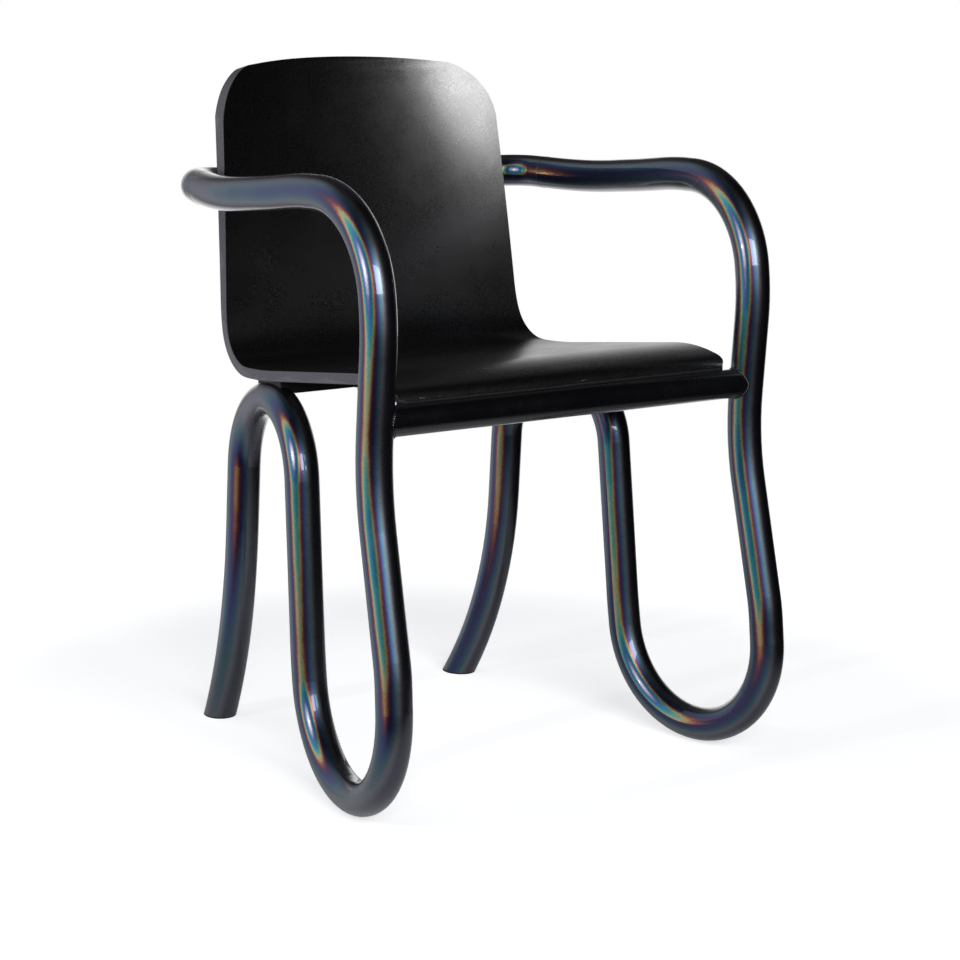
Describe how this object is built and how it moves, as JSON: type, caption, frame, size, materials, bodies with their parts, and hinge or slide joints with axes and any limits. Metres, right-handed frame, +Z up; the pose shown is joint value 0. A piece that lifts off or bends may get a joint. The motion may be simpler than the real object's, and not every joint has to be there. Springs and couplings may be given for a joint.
{
  "type": "armchair",
  "caption": "Armchair with a moulded plywood shell for seat and back, carried by a frame of bent steel tube that forms legs, arms and a hoop behind the back.",
  "frame": {"origin": "on the floor, under the middle of the bounding box", "axes": "+Z up, the sitter faces -Y, -X is the sitter's right"},
  "size_m": [0.5294, 0.5523, 0.7767],
  "materials": {
    "tube_paint": "gloss, colour-shifting clear coat over a near-black base",
    "rail_paint": "gloss, near black",
    "bracket_paint": "satin, near black",
    "bare_steel": "machined",
    "foot_plastic": "fine matte",
    "pad_rubber": "matte",
    "ply_core": "sealed ply edge, grey stain",
    "laminate": "satin black laminate",
    "screw_steel": "blackened",
    "insert_brass": "plain"
  },
  "bodies": {
    "root": {"side_tube_right": "tube_paint", "side_tube_left": "tube_paint", "back_hoop": "tube_paint", "front_rail": "rail_paint", "rear_crossbar": "bracket_paint", "rail_tab_right": "bracket_paint", "rail_tab_left": "bracket_paint", "joint_sleeve_right": "bare_steel", "joint_sleeve_left": "bare_steel", "foot_plug_right": "foot_plastic", "foot_plug_left": "foot_plastic", "arch_pad_right": "pad_rubber", "arch_pad_left": "pad_rubber", "shell_core": "ply_core", "shell_face_laminate": "laminate", "shell_rear_laminate": "laminate", "front_seat_screws": "screw_steel", "front_seat_washers": "screw_steel", "rear_seat_screws": "screw_steel", "rear_seat_washers": "screw_steel", "back_screws": "screw_steel", "back_washers": "screw_steel", "front_seat_inserts": "insert_brass", "rear_seat_inserts": "insert_brass", "back_inserts": "insert_brass"}
  },
  "joints": []
}
